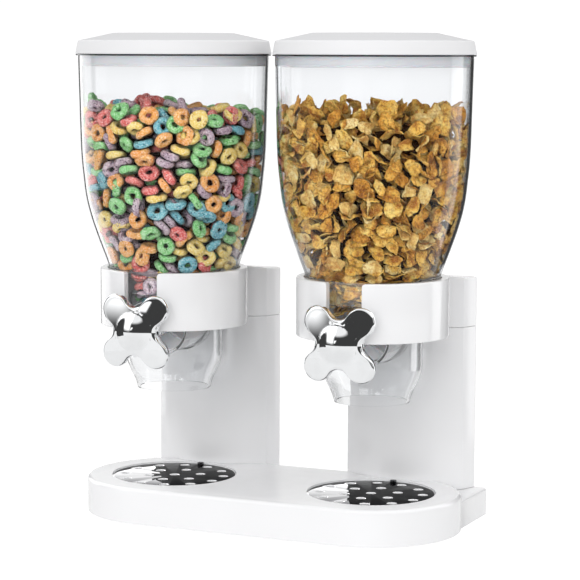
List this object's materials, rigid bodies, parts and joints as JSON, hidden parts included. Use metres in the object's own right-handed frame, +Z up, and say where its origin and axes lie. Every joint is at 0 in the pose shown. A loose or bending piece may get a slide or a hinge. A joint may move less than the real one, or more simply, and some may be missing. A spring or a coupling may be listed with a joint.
{
  "type": "cereal dispenser",
  "caption": "Twin countertop cereal dispenser: two clear funnel canisters with lift-off lids in collars on columns, four-lobed knobs, outlet chutes and drip trays in a shared base.",
  "frame": {"origin": "centre of the bounding box in plan, on the surface that the rubber feet stand on", "axes": "+Z up; the knobs and trays face -Y; +X to the right seen from the front"},
  "size_m": [0.3374, 0.171, 0.3951],
  "materials": {
    "white_body": "glossy white moulded ABS",
    "white_matt": "fine matt moulded plastic",
    "clear_canister": "clear, polished styrene acrylonitrile",
    "chrome_knob": "bright chrome plating",
    "mirror_tray": "mirror-polished plate with punched holes",
    "silicone": "translucent soft silicone",
    "nylon": "natural moulded nylon",
    "foot_rubber": "matt black rubber",
    "steel_screw": "zinc plated"
  },
  "bodies": {
    "stand": {"base_shell": "white_body", "base_floor_plate": "white_matt", "rubber_foot_1": "foot_rubber", "rubber_foot_2": "foot_rubber", "rubber_foot_3": "foot_rubber", "rubber_foot_4": "foot_rubber", "rubber_foot_5": "foot_rubber", "rubber_foot_6": "foot_rubber", "floor_screw_1": "steel_screw", "floor_screw_2": "steel_screw", "floor_screw_3": "steel_screw", "floor_screw_4": "steel_screw", "column_left": "white_body", "collar_left": "white_body", "back_cover_left": "white_body", "column_screw_left_1": "steel_screw", "column_screw_left_2": "steel_screw", "cover_screw_left_1": "steel_screw", "cover_screw_left_2": "steel_screw", "column_right": "white_body", "collar_right": "white_body", "back_cover_right": "white_body", "column_screw_right_1": "steel_screw", "column_screw_right_2": "steel_screw", "cover_screw_right_1": "steel_screw", "cover_screw_right_2": "steel_screw"},
    "left_canister": {"canister_left": "clear_canister", "outlet_chute_left": "clear_canister", "metering_housing_left": "clear_canister", "shaft_bush_left": "clear_canister"},
    "left_lid": {"lid_left": "white_body", "lid_seal_left": "silicone"},
    "left_knob": {"knob_left": "chrome_knob", "drive_shaft_left": "nylon", "paddle_wheel_left": "silicone"},
    "left_tray": {"drip_tray_left": "mirror_tray"},
    "right_canister": {"canister_right": "clear_canister", "outlet_chute_right": "clear_canister", "metering_housing_right": "clear_canister", "shaft_bush_right": "clear_canister"},
    "right_lid": {"lid_right": "white_body", "lid_seal_right": "silicone"},
    "right_knob": {"knob_right": "chrome_knob", "drive_shaft_right": "nylon", "paddle_wheel_right": "silicone"},
    "right_tray": {"drip_tray_right": "mirror_tray"}
  },
  "joints": [
    {"name": "left_canister_lift", "type": "slide", "parent": "stand", "child": "left_canister", "axis": [0, 0, 1], "range_m": [0, 0.12]},
    {"name": "left_lid_lift", "type": "slide", "parent": "left_canister", "child": "left_lid", "axis": [0, 0, 1], "range_m": [0, 0.1]},
    {"name": "left_knob_turn", "type": "hinge", "parent": "left_canister", "child": "left_knob", "pos_m": [-0.0885, -0.00532, 0.1573], "axis": [0, -1, 0], "continuous": true},
    {"name": "left_tray_lift", "type": "slide", "parent": "stand", "child": "left_tray", "axis": [0, 0, 1], "range_m": [0, 0.04]},
    {"name": "right_canister_lift", "type": "slide", "parent": "stand", "child": "right_canister", "axis": [0, 0, 1], "range_m": [0, 0.12]},
    {"name": "right_lid_lift", "type": "slide", "parent": "right_canister", "child": "right_lid", "axis": [0, 0, 1], "range_m": [0, 0.1]},
    {"name": "right_knob_turn", "type": "hinge", "parent": "right_canister", "child": "right_knob", "pos_m": [0.0885, -0.00532, 0.1573], "axis": [0, -1, 0], "continuous": true},
    {"name": "right_tray_lift", "type": "slide", "parent": "stand", "child": "right_tray", "axis": [0, 0, 1], "range_m": [0, 0.04]}
  ]
}
